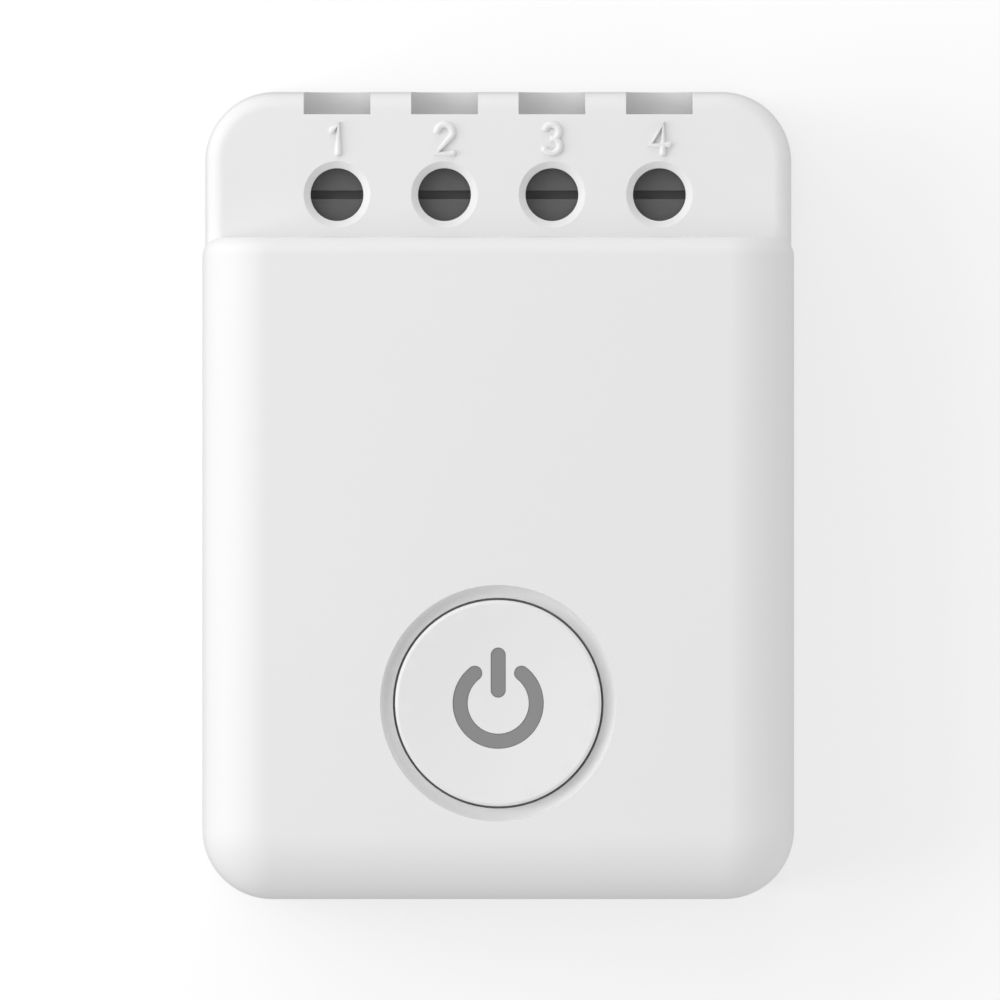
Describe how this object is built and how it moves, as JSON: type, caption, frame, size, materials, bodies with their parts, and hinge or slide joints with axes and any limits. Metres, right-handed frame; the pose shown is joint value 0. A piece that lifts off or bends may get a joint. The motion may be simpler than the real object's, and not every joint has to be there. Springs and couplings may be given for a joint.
{
  "type": "smart relay module",
  "caption": "Small mains relay module with a row of screw terminals on a stepped end shelf and a round push button with a power symbol.",
  "frame": {"origin": "centre of the back face, with the module lying on its back", "axes": "+Z out of the front face towards the button, +Y along the case towards the screw terminals, +X to the right in front view"},
  "size_m": [0.0414, 0.0566, 0.022],
  "materials": {
    "case_plastic": "white ABS, smooth satin moulding",
    "button_plastic": "white ABS, smooth satin moulding",
    "icon_plastic": "grey translucent light guide, unlit",
    "screw_steel": "zinc plated",
    "dark_steel": "dark passivated, dull",
    "housing_plastic": "light grey polyamide",
    "cage_steel": "zinc plated",
    "bar_brass": "bright, stamped",
    "board_laminate": "green solder mask on laminate",
    "relay_plastic": "blue moulded cover",
    "black_plastic": "black moulding compound",
    "pale_plastic": "natural polyamide",
    "winding_copper": "enamelled copper wire",
    "soft_iron": "nickel plated",
    "ferrite": "dark grey sintered",
    "winding_tape": "yellow polyester tape",
    "capacitor_sleeve": "dark shrink sleeve",
    "varistor_coat": "blue dipped coat",
    "fuse_coat": "green lacquer",
    "tinned_metal": "tinned, bright",
    "lamp_plastic": "clear lens"
  },
  "bodies": {
    "module": {"rear_case": "case_plastic", "front_cover": "case_plastic", "case_screws": "screw_steel", "terminal_housing_1": "housing_plastic", "terminal_housing_2": "housing_plastic", "terminal_housing_3": "housing_plastic", "terminal_housing_4": "housing_plastic", "current_bar_1": "bar_brass", "current_bar_2": "bar_brass", "current_bar_3": "bar_brass", "current_bar_4": "bar_brass", "fixed_contact": "bar_brass", "main_board": "board_laminate", "control_board": "board_laminate", "radio_board": "board_laminate", "relay_case": "relay_plastic", "relay_base": "black_plastic", "header_body": "black_plastic", "tact_base": "black_plastic", "bridge_rectifier": "black_plastic", "power_controller": "black_plastic", "main_smd_parts": "black_plastic", "control_smd_parts": "black_plastic", "transformer_bobbin": "black_plastic", "relay_bobbin": "pale_plastic", "board_spacers": "pale_plastic", "relay_winding": "winding_copper", "inductor_winding": "winding_copper", "relay_core": "soft_iron", "relay_yoke": "soft_iron", "transformer_core": "ferrite", "inductor_core": "ferrite", "transformer_winding": "winding_tape", "input_capacitor_1": "capacitor_sleeve", "input_capacitor_2": "capacitor_sleeve", "output_capacitor": "capacitor_sleeve", "varistor": "varistor_coat", "fuse_resistor": "fuse_coat", "relay_pins": "tinned_metal", "transformer_pins": "tinned_metal", "component_leads": "tinned_metal", "header_pins": "tinned_metal", "tact_cover": "tinned_metal", "tact_dome": "tinned_metal", "shield_can": "tinned_metal", "status_leds": "lamp_plastic"},
    "button": {"power_button": "button_plastic", "button_icon": "icon_plastic"},
    "switch_plunger": {"tact_plunger": "black_plastic"},
    "armature": {"relay_armature": "soft_iron", "armature_carrier": "pale_plastic", "contact_blade": "bar_brass"},
    "screw_1": {"terminal_screw_1": "dark_steel"},
    "cage_1": {"clamp_cage_1": "cage_steel"},
    "screw_2": {"terminal_screw_2": "dark_steel"},
    "cage_2": {"clamp_cage_2": "cage_steel"},
    "screw_3": {"terminal_screw_3": "dark_steel"},
    "cage_3": {"clamp_cage_3": "cage_steel"},
    "screw_4": {"terminal_screw_4": "dark_steel"},
    "cage_4": {"clamp_cage_4": "cage_steel"}
  },
  "joints": [
    {"name": "button_press", "type": "slide", "parent": "module", "child": "button", "axis": [0, 0, -1], "range_m": [0, 0.00035], "stiffness_N_per_m": 400},
    {"name": "plunger_press", "type": "slide", "parent": "module", "child": "switch_plunger", "axis": [0, 0, -1], "range_m": [0, 0.00035], "deforming": ["tact_dome"]},
    {"name": "armature_swing", "type": "hinge", "parent": "module", "child": "armature", "pos_m": [-0.00525, 0.0086, 0.0071], "axis": [0, -1, 0], "range_deg": [0, 4], "stiffness_Nm_per_rad": 0.02, "springref_deg": -2.86},
    {"name": "screw_turn_1", "type": "hinge", "parent": "module", "child": "screw_1", "pos_m": [-0.01125, 0.021, 0.0139], "axis": [0, 0, -1], "range_deg": [0, 1440]},
    {"name": "cage_lift_1", "type": "slide", "parent": "module", "child": "cage_1", "axis": [0, 0, 1], "range_m": [0, 0.002]},
    {"name": "screw_turn_2", "type": "hinge", "parent": "module", "child": "screw_2", "pos_m": [-0.00375, 0.021, 0.0139], "axis": [0, 0, -1], "range_deg": [0, 1440]},
    {"name": "cage_lift_2", "type": "slide", "parent": "module", "child": "cage_2", "axis": [0, 0, 1], "range_m": [0, 0.002]},
    {"name": "screw_turn_3", "type": "hinge", "parent": "module", "child": "screw_3", "pos_m": [0.00375, 0.021, 0.0139], "axis": [0, 0, -1], "range_deg": [0, 1440]},
    {"name": "cage_lift_3", "type": "slide", "parent": "module", "child": "cage_3", "axis": [0, 0, 1], "range_m": [0, 0.002]},
    {"name": "screw_turn_4", "type": "hinge", "parent": "module", "child": "screw_4", "pos_m": [0.01125, 0.021, 0.0139], "axis": [0, 0, -1], "range_deg": [0, 1440]},
    {"name": "cage_lift_4", "type": "slide", "parent": "module", "child": "cage_4", "axis": [0, 0, 1], "range_m": [0, 0.002]}
  ],
  "couplings": [
    {"joint": "plunger_press", "follows": "button_press", "ratio": 1},
    {"joint": "screw_turn_1", "follows": "cage_lift_1", "rad_per_m": 12566},
    {"joint": "screw_turn_2", "follows": "cage_lift_2", "rad_per_m": 12566},
    {"joint": "screw_turn_3", "follows": "cage_lift_3", "rad_per_m": 12566},
    {"joint": "screw_turn_4", "follows": "cage_lift_4", "rad_per_m": 12566}
  ]
}
